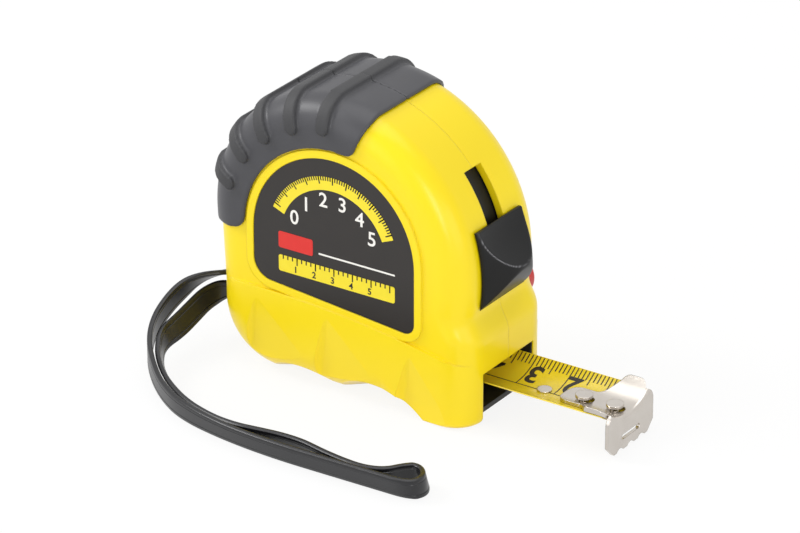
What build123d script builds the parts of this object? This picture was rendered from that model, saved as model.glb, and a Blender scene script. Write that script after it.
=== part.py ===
from build123d import *
import os
from math import asin, atan2, cos, degrees, pi, radians, sin, sqrt, tan

os.makedirs("parts", exist_ok=True)

# Fits and walls
wall = 1.8
moving_gap = 0.35
running_fit = 0.05
seat = 0.1

# Blade strip
blade_width = 19.0
blade_thick = 0.2
blade_curl_r = 14.4
blade_half_angle = degrees(blade_width / 2 / blade_curl_r)

# Reel, spring and spindle
axis_x = -1.5
axis_z = 37.0
spindle_r = 3.0
chamber_play = 1.0
chamber_side = 1.6
chamber_inner_r = 23.0
reel_side = 0.1
reel_half_y = blade_width / 2 - reel_side
chamber_half_y = reel_half_y + chamber_side
reel_wall = 1.4
drum_r = 20.4
hub_r = 5.4
hub_length = 3.0
tape_length = 5000.0
tape_wound_pitch = 0.14
coil_r = sqrt(drum_r**2 + tape_length * tape_wound_pitch / pi)
spring_side = 3.4
spring_half_y = reel_half_y - spring_side
spring_strip = 0.5
spring_turns = 8
spring_steps = 16
axle_boss_r = 7.0

# Case outline round the reel, X towards the hook, Z up from the base
front_room = 11.52
rear_room = 5.72
top_room = 8.02
side_room = 7.0
top_z = axis_z + coil_r + top_room
arc_shift = 2.0
arc_x = axis_x - arc_shift
front_arc_r = coil_r + front_room
front_arc_z = top_z - front_arc_r
rear_arc_r = coil_r + rear_room
rear_lean = 3.0
rear_line_length = 24.0
heel_r = 9.0
brow_angle = 10.0
brow_reach = 2.26
brow_x = arc_x + front_arc_r * cos(radians(brow_angle)) + brow_reach
brow_z = 19.5
body_half_y = blade_width / 2 + side_room
body_round = 6.5
spindle_seat = 3.0
spindle_half_y = body_half_y - spindle_seat

# Skirt, the lower band of the case that stands proud of the body
skirt_front_x = brow_x
skirt_proud = 0.8
skirt_half_y = body_half_y + skirt_proud
skirt_rear_x = -34.2
skirt_heel_r = 16.0
skirt_split_x = 12.0
skirt_toe_x = 20.0
skirt_grip_round = 9.0
skirt_corner_r = 7.5
skirt_foot_round = 2.2
skirt_top_z = 26.0
ledge_r = 237.0
ledge_crown_x = -20.0
ledge_crown_z = 22.0

# Finger flutes in the lower side edges
flutes = [(-25.4, 20.0, 25.0), (-6.2, 19.8, 24.0), (16.2, 16.4, 16.0)]
flute_depth = 2.4
flute_rear_run = 1.6
flute_sweep = 3.2
flute_corner_r = 1.6
flute_side_margin = 6.0
scallops = [(-11.0, 1.5, 17.0), (9.0, 2.4, 20.0)]
scallop_tilt = 64.0

# Label panel on each side
label_x = -0.7
label_z = 36.5
label_r = 21.6
label_low_rear_z = 24.9
label_low_front_z = 20.8
label_rear_corner_r = 5.0
label_front_corner_r = 2.6
label_thickness = 0.3
label_play = 0.1
rim_width = 2.0
rim_proud = 0.5
rim_root = 2.0

# Rubber grip over the rear shoulder
grip_proud = 1.0
grip_inner_r = 24.0
grip_front_x = 8.0
grip_bend_z = 68.5
grip_bend_r = 6.0
grip_lobe_x = 3.9
grip_lobe_z = 58.5
grip_lobe_r = 2.6
grip_low_z = 35.2
grip_heel_r = 3.4
rib_proud = 1.2
rib_width = 3.2
rib_inner_r = 29.3
rib_first_angle = 94.0
rib_pitch_angle = 16.6
rib_count = 5

# Blade and hook
blade_low_z = 7.1
blade_inner_x = 7.4
hook_zero_x = 67.2
hook_thick = 0.9
hook_tongue_x = 49.6
hook_tongue_half_y = 3.6
hook_tongue_end_x = 57.0
hook_shoulder_x = 60.5
hook_tip_r = 3.0
hook_neck_r = 2.5
hook_shoulder_r = 2.0
hook_ear_z = 11.0
hook_ear_r = 3.2
hook_bend_r = 0.85
hook_wing_r = 2.4
hook_side_margin = 0.57
hook_half_y = blade_curl_r * sin(radians(blade_half_angle)) + hook_side_margin
hook_trim_angle = 1.0
hook_low_z = 0.4
hook_corner = 2.4
hook_scallop_r = 1.7
hook_scallop_depth = 0.7
hook_scallop_ys = [-4.4, 0.0, 4.4]
hook_slot_length = 7.6
hook_slot_height = 1.3
hook_slot_z = 3.4
hook_float = 1.0
hook_rivet_xs = [55.0, 63.0]
rivet_head_r = 2.0
rivet_head_height = 0.7
rivet_head_z = 8.55
rivet_shank_r = 1.1
rivet_tail_r = 1.8
rivet_tail_height = 0.5
end_rivet_x = 44.6
end_rivet_r = 1.7
end_rivet_height = 0.5

# Mouth
guide_inner_y = hook_half_y + moving_gap
guide_wall = 0.5
mouth_half_y = guide_inner_y + guide_wall
mouth_top_z = 12.7
tunnel_rear_x = -24.4
tunnel_floor_z = 5.0
guide_rear_x = 16.0
guide_low_z = 3.0
guide_floor = 1.2
guide_setback = 0.3
guide_front_x = skirt_front_x - guide_setback
toe_notch_length = 4.5
toe_notch_x = skirt_front_x - toe_notch_length
anvil_half_y = 3.0
anvil_x0 = 18.0
anvil_x1 = 24.0
anvil_drop = 1.0

# Lock slider
slot_half_y = 3.3
slot_end_angle = 1.0
lock_travel_angle = 21.0
lock_half_y = 8.9
lock_pad = [(18.6, 2.8), (4.0, 4.5), (-1.5, 4.2), (-9.2, 1.5)]
lock_crown = 4.0
lock_edge = 1.7
lock_scoop_r = 37.7
lock_scoop_floor = 1.0
lock_scoop_angle = 22.0
lock_stem_low_angle = -2.0
lock_stem_top_angle = 17.0
band_thick = 1.5
band_half_y = 6.5
band_top_angle = 43.0
band_notch_half_y = 4.0
band_notch_z = 10.6
band_tip_z = 9.0
band_run_out_angle = 2.35
band_outer_r = front_arc_r - wall - moving_gap
band_tip_angle = degrees(asin((front_arc_z - band_tip_z) / (band_outer_r - band_thick)))
band_low_angle = -band_tip_angle - band_run_out_angle
front_bay_inner_r = 20.0
front_bay_end_angle = 2.0
front_bay_half_y = 7.0

# Side stop button on the far half
stop_spring_r = 2.6
stop_spring_wire = 0.25
stop_spring_pitch = 0.75
stop_coil_gap = 1.56
stop_angle = -26.83
stop_reach = coil_r + stop_coil_gap + stop_spring_r + stop_spring_wire
stop_x = axis_x + stop_reach * cos(radians(stop_angle))
stop_z = axis_z + stop_reach * sin(radians(stop_angle))
stop_r = 5.2
stop_proud = 2.5
stop_face_y = body_half_y + stop_proud
stop_round = 1.2
stop_flange_r = 5.7
stop_flange_set = 3.5
stop_flange_y = body_half_y - stop_flange_set
stop_flange_thick = 1.0
stop_travel = 1.3
stop_arm_length = stop_reach - (drum_r + coil_r) / 2
stop_arm_half = 2.2
stop_pad_r = 2.0
stop_pocket_y = 8.6

# Case screws, driven from the far side
screw_coil_gap = 5.4
screw_reach = coil_r + screw_coil_gap
screw_angles = [134.6, 212.4]
screw_front_set = 6.5
screw_front_z = 15.6
screw_points = [
    (axis_x + screw_reach * cos(radians(angle)), axis_z + screw_reach * sin(radians(angle)))
    for angle in screw_angles
] + [(skirt_front_x - screw_front_set, screw_front_z)]
screw_shank_r = 1.2
screw_head_r = 2.2
screw_head_height = 1.6
screw_head_set = 4.0
screw_head_y = body_half_y - screw_head_set
screw_tip_y = -9.0
screw_drive_length = 2.8
screw_drive_width = 0.7
screw_drive_depth = 0.8
screw_play = 0.15

# Strap pin and wrist strap
pin_x = -29.4
pin_z = 13.0
pin_r = 1.6
pin_half_y = 7.5
bay_half_y = 4.6
bay_z0 = 8.2
bay_z1 = 17.4
bay_inner_x = -25.4
strap_r = 1.4
strap_route = [
    (-30.6, 0.0, 13.0),
    (-41.5, -4.5, 13.0),
    (-43.6, -18.0, 10.6),
    (-40.2, -31.0, 5.2),
    (-28.0, -41.6, 2.2),
    (-8.0, -48.2, 1.6),
    (17.0, -48.2, 1.6),
    (42.5, -46.8, 1.6),
]
strap_bend_share = 0.45

# Belt clip on the far side
clip_width = 15.0
clip_thick = 1.0
clip_x = -1.0
clip_arm_set = 5.2
clip_lip_set = 4.1
clip_pinch_set = 1.8
clip_arm_y = body_half_y + clip_arm_set
clip_lip_y = body_half_y + clip_lip_set
clip_pinch_y = body_half_y + clip_pinch_set
clip_route_z = [55.0, 42.0, 38.0, 26.0, 19.5, 15.0]
clip_bend_r = 1.6
clip_screw_z = 48.0
clip_screw_r = 1.5
clip_screw_depth = 5.5
clip_head_r = 3.2
clip_head_height = 1.4
clip_boss_r = 4.0


def side_extrude(face, half_y):
    return extrude(Plane.XZ * face, amount=half_y, both=True)


def side_slab(face, y0, y1):
    return extrude(Pos(0, y1, 0) * (Plane.XZ * face), amount=y1 - y0)


def y_cylinder(r, x, z, y0, y1):
    return Pos(x, (y0 + y1) / 2, z) * Rot(X=90) * Cylinder(r, y1 - y0)


def box_between(x0, x1, y0, y1, z0, z1):
    return Pos((x0 + x1) / 2, (y0 + y1) / 2, (z0 + z1) / 2) * Box(x1 - x0, y1 - y0, z1 - z0)


def front_point(r, angle):
    return arc_x + r * cos(radians(angle)), front_arc_z + r * sin(radians(angle))


def front_sector(r0, r1, angle0, angle1):
    outer = CenterArc((arc_x, front_arc_z), r1, angle0, angle1 - angle0)
    inner = CenterArc((arc_x, front_arc_z), r0, angle0, angle1 - angle0)
    ends = [Line(inner @ 0, outer @ 0), Line(inner @ 1, outer @ 1)]
    return make_face([outer, inner] + ends)


def body_face(grow):
    front = CenterArc((arc_x, front_arc_z), front_arc_r + grow, 90, -90 - brow_angle)
    brow = Spline(front @ 1, (brow_x + grow, brow_z), tangents=[front % 1, (0, -1)])
    rear = CenterArc((arc_x, top_z - rear_arc_r), rear_arc_r + grow, 90, 90 + rear_lean)
    rear_line = Line(rear @ 1, rear @ 1 + (rear % 1) * rear_line_length)
    heel = JernArc(rear_line @ 1, rear_line % 1, heel_r, 90 - rear_lean)
    low_z = (heel @ 1).Y
    front_line = Line(brow @ 1, (brow_x + grow, low_z + heel_r))
    toe = JernArc(front_line @ 1, (0, -1), heel_r, -90)
    floor = Line(heel @ 1, toe @ 1)
    return make_face([front, brow, front_line, toe, floor, heel, rear_line, rear])


def body_solid(grow):
    block = side_extrude(body_face(grow), body_half_y + grow)
    sides = block.faces().sort_by(Axis.Y)
    return fillet(sides[0].edges() + sides[-1].edges(), body_round + grow)


def label_face():
    crown = CenterArc((label_x, label_z), label_r, 0, 180)
    rear_low = (label_x - label_r, label_low_rear_z)
    front_low = (label_x + label_r, label_low_front_z)
    rest = Polyline(crown @ 1, rear_low, front_low, crown @ 0)
    face = make_face([crown, rest])
    corners = face.vertices().sort_by(Axis.Y)
    face = fillet(corners[0], label_front_corner_r)
    rear_corner = face.vertices().sort_by_distance(Vector(*rear_low))[0]
    return fillet(rear_corner, label_rear_corner_r)


def flute(valley_x, apex_z, front_run, side):
    outer = skirt_half_y + flute_side_margin
    points = [
        (valley_x - flute_rear_run, outer),
        (valley_x - flute_rear_run, skirt_half_y),
        (valley_x, skirt_half_y - flute_depth),
        (valley_x + front_run, skirt_half_y),
        (valley_x + front_run, outer),
    ]
    face = make_face(Polyline(*points, close=True))
    deepest = face.vertices().sort_by(Axis.Y)[0]
    face = fillet(deepest, flute_corner_r)
    lean = Vector(flute_sweep, flute_depth, apex_z)
    cutter = extrude(face, amount=lean.length, dir=lean.normalized())
    return cutter if side > 0 else mirror(cutter, Plane.XZ)


def scallop(x, depth, length, side):
    r = length**2 / (8 * depth) + depth / 2
    reach = skirt_grip_round - depth + r
    y = skirt_half_y - skirt_grip_round + reach * cos(radians(scallop_tilt))
    z = skirt_grip_round - reach * sin(radians(scallop_tilt))
    cutter = Pos(x, y, z) * Rot(X=-scallop_tilt) * Cylinder(r, 2 * skirt_half_y)
    return cutter if side > 0 else mirror(cutter, Plane.XZ)


def skirt_section(x, edge_r):
    width = 2 * skirt_half_y
    section = Pos(0, skirt_top_z / 2) * Rectangle(width, skirt_top_z)
    section = fillet(section.vertices().sort_by(Axis.Y)[:2], edge_r)
    return Pos(x, 0, 0) * (Plane.YZ * section)


def skirt_solid():
    heel = CenterArc((skirt_rear_x + skirt_heel_r, skirt_heel_r), skirt_heel_r, 180, 90)
    split_low = (skirt_split_x, 0)
    split_top = (skirt_split_x, skirt_top_z)
    rear_top = (skirt_rear_x, skirt_top_z)
    rest = Polyline(heel @ 1, split_low, split_top, rear_top, heel @ 0)
    rear = side_extrude(make_face([heel, rest]), skirt_half_y)
    sides = rear.faces().sort_by(Axis.Y)
    rounded = []
    for edge in sides[0].edges() + sides[-1].edges():
        middle = edge.center()
        at_top = abs(middle.Z - skirt_top_z) < seat
        at_split = abs(middle.X - skirt_split_x) < seat
        if not at_top and not at_split:
            rounded.append(edge)
    rear = fillet(rounded, skirt_grip_round)
    near_end = skirt_section(skirt_split_x, skirt_grip_round)
    waist = loft([near_end, skirt_section(skirt_toe_x, skirt_foot_round)])
    foot = box_between(skirt_toe_x, skirt_front_x, -skirt_half_y, skirt_half_y, 0, skirt_top_z)
    foot = fillet(foot.edges().filter_by(Axis.Z).sort_by(Axis.X)[-2:], skirt_corner_r)
    low_edges = foot.faces().sort_by(Axis.Z)[0].edges().sort_by(Axis.X)[1:]
    foot = fillet(low_edges, skirt_foot_round)
    ledge_z0 = ledge_crown_z - ledge_r
    ledge = y_cylinder(ledge_r, ledge_crown_x, ledge_z0, -2 * skirt_half_y, 2 * skirt_half_y)
    return (rear + waist + foot) & ledge


def grip_face():
    bend = (grip_front_x, grip_bend_z)
    lobe = (grip_lobe_x, grip_lobe_z)
    heel = (label_x - grip_inner_r, grip_low_z)
    outer = Polyline(
        (grip_front_x, outside),
        bend,
        lobe,
        (label_x, label_z),
        (label_x, grip_low_z),
        (-outside, grip_low_z),
        (-outside, outside),
        close=True,
    )
    face = make_face(outer) - Pos(label_x, label_z) * Circle(grip_inner_r)
    for point, r in ((lobe, grip_lobe_r), (heel, grip_heel_r), (bend, grip_bend_r)):
        face = fillet(face.vertices().sort_by_distance(Vector(*point))[0], r)
    return face


def blade_section(inner_r, outer_r, half_angle):
    centre = (0, blade_low_z + blade_curl_r)
    start = -90 - half_angle
    outer = CenterArc(centre, outer_r, start, 2 * half_angle)
    inner = CenterArc(centre, inner_r, start, 2 * half_angle)
    ends = [Line(inner @ 0, outer @ 0), Line(inner @ 1, outer @ 1)]
    return Plane.YZ * make_face([outer, inner] + ends)


def blade_strip(inner_r, outer_r, half_angle, x0, x1):
    return Pos(x0, 0, 0) * extrude(blade_section(inner_r, outer_r, half_angle), amount=x1 - x0)


# Case shell
outside = 2 * top_z
body = body_solid(0)
shell = body + skirt_solid()
for flute_x, flute_z, flute_run in flutes:
    shell -= flute(flute_x, flute_z, flute_run, 1)
    shell -= flute(flute_x, flute_z, flute_run, -1)
for scallop_size in scallops:
    shell -= scallop(*scallop_size, 1)
    shell -= scallop(*scallop_size, -1)

label_outline = label_face()
rim_outline = offset(label_outline, amount=rim_width)
rim_out = body_half_y + rim_proud
shell += side_slab(rim_outline, -rim_out, -body_half_y + rim_root)
shell += side_slab(rim_outline, body_half_y - rim_root, rim_out)
recess_outline = offset(label_outline, amount=label_play)
shell -= side_slab(recess_outline, -rim_out - seat, -body_half_y)
shell -= side_slab(recess_outline, body_half_y, rim_out + seat)

# Hollow: reel chamber, bay for the lock band, blade tunnel and mouth
chamber_r = coil_r + chamber_play
hollow = y_cylinder(chamber_r, axis_x, axis_z, -chamber_half_y, chamber_half_y)
side_inner_y = body_half_y - wall
hollow += y_cylinder(chamber_inner_r, axis_x, axis_z, -side_inner_y, side_inner_y)
bay_outer_r = front_arc_r - wall
bay_low_angle = band_low_angle - front_bay_end_angle
bay_top_angle = band_top_angle + lock_travel_angle + front_bay_end_angle
front_bay = front_sector(front_bay_inner_r, bay_outer_r, bay_low_angle, bay_top_angle)
hollow += side_extrude(front_bay, front_bay_half_y)
hollow += box_between(
    tunnel_rear_x, guide_rear_x, -mouth_half_y, mouth_half_y, tunnel_floor_z, mouth_top_z
)
hollow += box_between(
    guide_rear_x, outside, -mouth_half_y, mouth_half_y, guide_low_z, mouth_top_z
)
hollow += box_between(
    toe_notch_x, outside, -mouth_half_y, mouth_half_y, -guide_low_z, guide_low_z
)
shell -= hollow

# Bosses that carry the spindle and the belt clip screw
boss_face_y = reel_half_y + moving_gap
for side in (-1, 1):
    ys = sorted([side * boss_face_y, side * (side_inner_y + seat)])
    shell += y_cylinder(axle_boss_r, axis_x, axis_z, ys[0], ys[1])
clip_screw_tip_y = body_half_y - clip_screw_depth
clip_boss_y = clip_screw_tip_y - seat
shell += y_cylinder(clip_boss_r, clip_x, clip_screw_z, clip_boss_y, side_inner_y + seat)
spindle = y_cylinder(spindle_r, axis_x, axis_z, -spindle_half_y, spindle_half_y)
shell -= spindle

# Slot for the lock slider
slot_low_angle = lock_stem_low_angle - slot_end_angle
slot_top_angle = lock_stem_top_angle + lock_travel_angle + slot_end_angle
slot = front_sector(bay_outer_r - seat, front_arc_r + wall, slot_low_angle, slot_top_angle)
shell -= side_extrude(slot, slot_half_y)

# Side stop button: bore, shoulder pocket and the way for its arm
stop_shoulder_y = stop_flange_y + moving_gap
stop_bore_r = stop_r + moving_gap
shell -= y_cylinder(stop_bore_r, stop_x, stop_z, stop_shoulder_y - seat, outside)
pocket_r = stop_flange_r + moving_gap
shell -= y_cylinder(pocket_r, stop_x, stop_z, stop_pocket_y, stop_shoulder_y)
arm_angle = degrees(atan2(axis_z - stop_z, axis_x - stop_x))
arm_way_half = stop_arm_half + moving_gap
arm_way_length = 2 * stop_arm_length
arm_way = Pos(arm_way_length / 2, 0) * Rectangle(arm_way_length, 2 * arm_way_half)
arm_way = Pos(stop_x, stop_z) * Rot(Z=arm_angle) * arm_way
shell -= side_slab(arm_way, reel_half_y, stop_shoulder_y)

# Rear bay for the wrist strap
shell -= box_between(-outside, bay_inner_x, -bay_half_y, bay_half_y, bay_z0, bay_z1)
strap_pin = y_cylinder(pin_r, pin_x, pin_z, -pin_half_y, pin_half_y)
shell -= strap_pin

# Case screws
screws = []
for x, z in screw_points:
    head = y_cylinder(screw_head_r, x, z, screw_head_y, screw_head_y + screw_head_height)
    shank = y_cylinder(screw_shank_r, x, z, screw_tip_y, screw_head_y)
    top_y = screw_head_y + screw_head_height
    drive = Rectangle(screw_drive_length, screw_drive_width)
    drive += Rectangle(screw_drive_width, screw_drive_length)
    head -= side_slab(Pos(x, z) * drive, top_y - screw_drive_depth, top_y + seat)
    screws.append(head + shank)
    well_r = screw_head_r + screw_play
    shell -= y_cylinder(well_r, x, z, screw_head_y, outside)
    shell -= y_cylinder(screw_shank_r, x, z, screw_tip_y, screw_head_y + seat)

clip_screw = y_cylinder(clip_screw_r, clip_x, clip_screw_z, clip_screw_tip_y, body_half_y)
shell -= clip_screw

# Rubber grip
skin = body_solid(grip_proud) & side_extrude(grip_face(), outside)
rib_body = body_solid(grip_proud + rib_proud)
for index in range(rib_count):
    angle = rib_first_angle + index * rib_pitch_angle
    bar = Pos(outside / 2, 0) * Rectangle(outside, rib_width) + Circle(rib_width / 2)
    bar = Pos(label_x, label_z) * Rot(Z=angle) * Pos(rib_inner_r, 0) * bar
    skin += rib_body & side_extrude(bar, outside)
grip = skin - body
for x, z in screw_points:
    grip -= y_cylinder(screw_head_r + screw_play, x, z, 0, outside)

far_side = box_between(-outside, outside, 0, outside, -outside, outside)
near_side = mirror(far_side, Plane.XZ)
case_left = shell & near_side
case_right = shell & far_side
grip_left = grip & near_side
grip_right = grip & far_side
label = side_slab(label_outline, -body_half_y - label_thickness, -body_half_y)

# Mouth guide, a channel with the anvil that the lock presses the blade on
guide = box_between(
    guide_rear_x, guide_front_x, -mouth_half_y, mouth_half_y, guide_low_z, mouth_top_z
)
guide -= box_between(
    guide_rear_x - seat,
    outside,
    -guide_inner_y,
    guide_inner_y,
    guide_low_z + guide_floor,
    mouth_top_z + seat,
)
anvil_top_z = blade_low_z - blade_thick - anvil_drop
guide += box_between(
    anvil_x0, anvil_x1, -anvil_half_y, anvil_half_y, guide_low_z + guide_floor - seat, anvil_top_z
)

# Reel
reel_y0 = -reel_half_y
reel_y1 = reel_half_y
drum_inner_r = drum_r - reel_wall
reel_bore_r = spindle_r + running_fit
reel_drum = y_cylinder(drum_r, axis_x, axis_z, reel_y0, reel_y1)
reel_drum -= y_cylinder(drum_inner_r, axis_x, axis_z, reel_y0 + reel_wall, reel_y1 + seat)
reel_drum += y_cylinder(hub_r, axis_x, axis_z, reel_y0, reel_y0 + hub_length)
reel_drum -= y_cylinder(reel_bore_r, axis_x, axis_z, reel_y0 - seat, reel_y1)
spring_cover = y_cylinder(drum_inner_r, axis_x, axis_z, reel_y1 - reel_wall, reel_y1)
spring_cover -= y_cylinder(reel_bore_r, axis_x, axis_z, 0, reel_y1 + seat)
coil_half_y = blade_width / 2
tape_coil = y_cylinder(coil_r, axis_x, axis_z, -coil_half_y, coil_half_y)
tape_coil -= y_cylinder(drum_r, axis_x, axis_z, -coil_half_y - seat, coil_half_y + seat)


def spiral(shift):
    inner = spindle_r + moving_gap + spring_strip / 2
    outer = drum_inner_r - spring_strip / 2
    count = spring_turns * spring_steps
    points = []
    for step in range(count + 1):
        r = inner + (outer - inner) * step / count + shift
        turn = 2 * pi * step / spring_steps
        points.append((axis_x + r * cos(turn), axis_z + r * sin(turn)))
    return Spline(*points)


strip_in = spiral(-spring_strip / 2)
strip_out = spiral(spring_strip / 2)
strip_ends = [Line(strip_in @ 0, strip_out @ 0), Line(strip_in @ 1, strip_out @ 1)]
power_spring = side_extrude(make_face([strip_in, strip_out] + strip_ends), spring_half_y)

# Blade with its rivets
hook_inner_x = hook_zero_x - hook_thick
blade_end_x = hook_inner_x - hook_float - moving_gap
blade_outer_r = blade_curl_r + blade_thick
blade = blade_strip(blade_curl_r, blade_outer_r, blade_half_angle, blade_inner_x, blade_end_x)
tail_z = blade_low_z - blade_thick - rivet_tail_height


def rivet(x, head_r, head_z, head_height):
    head = Pos(x, 0, head_z + head_height / 2) * Cylinder(head_r, head_height)
    shank_height = head_z - tail_z
    shank = Pos(x, 0, tail_z + shank_height / 2) * Cylinder(rivet_shank_r, shank_height)
    tail_height = rivet_tail_height + seat
    tail = Pos(x, 0, tail_z + tail_height / 2) * Cylinder(rivet_tail_r, tail_height)
    return head + shank + tail


hook_rivets = [rivet(x, rivet_head_r, rivet_head_z, rivet_head_height) for x in hook_rivet_xs]
blade_rivet = rivet(end_rivet_x, end_rivet_r, blade_low_z, end_rivet_height)
for piece in hook_rivets + [blade_rivet]:
    blade -= piece

# Hook
plate_r1 = blade_curl_r - running_fit
plate_r0 = plate_r1 - hook_thick
plate_half_angle = degrees(asin(hook_half_y / plate_r0)) + hook_trim_angle
plate = blade_strip(plate_r0, plate_r1, plate_half_angle, hook_tongue_x, hook_inner_x)
plan = Polyline(
    (hook_tongue_x, -hook_tongue_half_y),
    (hook_tongue_end_x, -hook_tongue_half_y),
    (hook_shoulder_x, -hook_half_y),
    (hook_inner_x, -hook_half_y),
    (hook_inner_x, hook_half_y),
    (hook_shoulder_x, hook_half_y),
    (hook_tongue_end_x, hook_tongue_half_y),
    (hook_tongue_x, hook_tongue_half_y),
    close=True,
)
plan = make_face(plan)
for x, r in (
    (hook_tongue_x, hook_tip_r),
    (hook_tongue_end_x, hook_neck_r),
    (hook_shoulder_x, hook_shoulder_r),
    (hook_inner_x, hook_wing_r),
):
    plan = fillet(plan.vertices().filter_by(lambda v, x=x: abs(v.X - x) < seat), r)
plate = plate & extrude(plan, amount=2 * mouth_top_z)
leg = Polyline(
    (-hook_half_y, hook_low_z + hook_corner),
    (-hook_half_y + hook_corner, hook_low_z),
    (hook_half_y - hook_corner, hook_low_z),
    (hook_half_y, hook_low_z + hook_corner),
    (hook_half_y, hook_ear_z),
    (-hook_half_y, hook_ear_z),
    close=True,
)
leg = make_face(leg)
leg = fillet(leg.vertices().sort_by(Axis.Y)[-2:], hook_ear_r)
curl_z = blade_low_z + blade_curl_r
leg -= Pos(0, curl_z) * Circle(plate_r0)
for y in hook_scallop_ys:
    leg -= Pos(y, hook_low_z + hook_scallop_depth - hook_scallop_r) * Circle(hook_scallop_r)
leg -= Pos(0, hook_slot_z) * SlotOverall(hook_slot_length, hook_slot_height)
hook = plate + Pos(hook_inner_x, 0, 0) * extrude(Plane.YZ * leg, amount=hook_thick)
front_edges = hook.edges().filter_by(lambda e: abs(e.center().X - hook_zero_x) < seat)
bend = front_edges.filter_by(GeomType.CIRCLE)
bend = bend.filter_by(lambda e: abs(e.radius - plate_r0) < seat)
hook = fillet(bend, hook_bend_r)
hook_way_r = rivet_shank_r + moving_gap
for x in hook_rivet_xs:
    way = Pos(x + hook_float / 2, 0) * SlotOverall(hook_float + 2 * hook_way_r, 2 * hook_way_r)
    hook -= Pos(0, 0, blade_low_z) * extrude(way, amount=rivet_head_z)

# Lock slider: pad, stem through the slot and the band behind it
lock_inner_r = front_arc_r + moving_gap
lock_stem_half_y = slot_half_y - moving_gap
pad_points = [front_point(front_arc_r + h, angle) for angle, h in lock_pad]
pad_inner = CenterArc(
    (arc_x, front_arc_z), lock_inner_r, lock_pad[-1][0], lock_pad[0][0] - lock_pad[-1][0]
)
pad_face = Polyline(pad_inner @ 1, *pad_points, pad_inner @ 0)
crown_edge_r = front_arc_r + lock_edge
crown = ThreePointArc(
    (crown_edge_r, -lock_half_y), (front_arc_r + lock_crown, 0), (crown_edge_r, lock_half_y)
)
barrel = make_face([crown, Polyline(crown @ 1, (0, lock_half_y), (0, -lock_half_y), crown @ 0)])
barrel = Pos(arc_x, 0, front_arc_z) * revolve(barrel, Axis.Y)
pad = side_extrude(make_face([pad_inner, pad_face]), lock_half_y) & barrel
scoop_r = front_arc_r + lock_scoop_floor + lock_scoop_r
scoop_x, scoop_z = front_point(scoop_r, lock_scoop_angle)
pad -= Pos(scoop_x, 0, scoop_z) * Sphere(lock_scoop_r)
stem = front_sector(band_outer_r - seat, lock_inner_r + seat, lock_stem_low_angle, lock_stem_top_angle)
band = front_sector(band_outer_r - band_thick, band_outer_r, band_low_angle, band_top_angle)
band = side_extrude(band, band_half_y)
band -= box_between(0, outside, -2 * band_half_y, 2 * band_half_y, 0, band_tip_z)
band -= box_between(0, outside, -band_notch_half_y, band_notch_half_y, 0, band_notch_z)
lock_slider = pad + side_extrude(stem, lock_stem_half_y) + band

# Side stop button
stop_button = y_cylinder(stop_r, stop_x, stop_z, stop_flange_y - seat, stop_face_y)
stop_button = fillet(stop_button.faces().sort_by(Axis.Y)[-1].edges(), stop_round)
stop_back_y = stop_flange_y - stop_flange_thick
stop_button += y_cylinder(stop_flange_r, stop_x, stop_z, stop_back_y, stop_flange_y)
arm = Pos(stop_arm_length / 2, 0) * SlotCenterToCenter(stop_arm_length, 2 * stop_arm_half)
arm = Pos(stop_x, stop_z) * Rot(Z=arm_angle) * arm
stop_button += side_slab(arm, stop_back_y, stop_flange_y)
pad_x = stop_x + stop_arm_length * cos(radians(arm_angle))
pad_z = stop_z + stop_arm_length * sin(radians(arm_angle))
stop_pad_y = coil_half_y + stop_travel + moving_gap
stop_pad = y_cylinder(stop_pad_r, pad_x, pad_z, stop_pad_y, stop_back_y)
spring_length = stop_back_y - stop_pocket_y - 2 * stop_spring_wire
coil_line = Helix(stop_spring_pitch, spring_length, stop_spring_r)
coil_section = Plane(coil_line @ 0, z_dir=coil_line % 0) * Circle(stop_spring_wire)
stop_spring = sweep(coil_section, path=coil_line)
stop_spring = Pos(stop_x, stop_back_y - stop_spring_wire, stop_z) * Rot(X=90) * stop_spring

# Belt clip
clip_foot_y = body_half_y + clip_thick / 2
clip_ys = [clip_foot_y, clip_foot_y, clip_arm_y, clip_arm_y, clip_pinch_y, clip_lip_y]
clip_line = FilletPolyline(*zip(clip_ys, clip_route_z), radius=clip_bend_r)
clip_face = make_face(offset(clip_line, amount=clip_thick / 2, side=Side.BOTH))
belt_clip = extrude(Plane.YZ * clip_face, amount=clip_width / 2, both=True)
belt_clip = Pos(clip_x, 0, 0) * belt_clip
belt_clip -= y_cylinder(clip_screw_r, clip_x, clip_screw_z, 0, 2 * clip_foot_y)
clip_head_y = body_half_y + clip_thick
clip_screw += y_cylinder(clip_screw_r, clip_x, clip_screw_z, body_half_y, clip_head_y)
clip_screw += y_cylinder(clip_head_r, clip_x, clip_screw_z, clip_head_y, clip_head_y + clip_head_height)

# Wrist strap
points = [Vector(*p) for p in strap_route]
radii = []
for before, here, after in zip(points, points[1:], points[2:]):
    turn = (here - before).get_angle(after - here)
    run = min((here - before).length, (after - here).length)
    radii.append(strap_bend_share * run / tan(radians(turn / 2)))
print("strap bend radii", [round(r, 1) for r in radii])
strap_line = FilletPolyline(*points, radius=radii)
strap_section = Plane(strap_line @ 0, z_dir=strap_line % 0) * Circle(strap_r)
wrist_strap = sweep(strap_section, path=strap_line)
print("strap length", round(strap_line.length, 1))
print("strap volume share", round(wrist_strap.volume / (pi * strap_r**2 * strap_line.length), 4))

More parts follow.
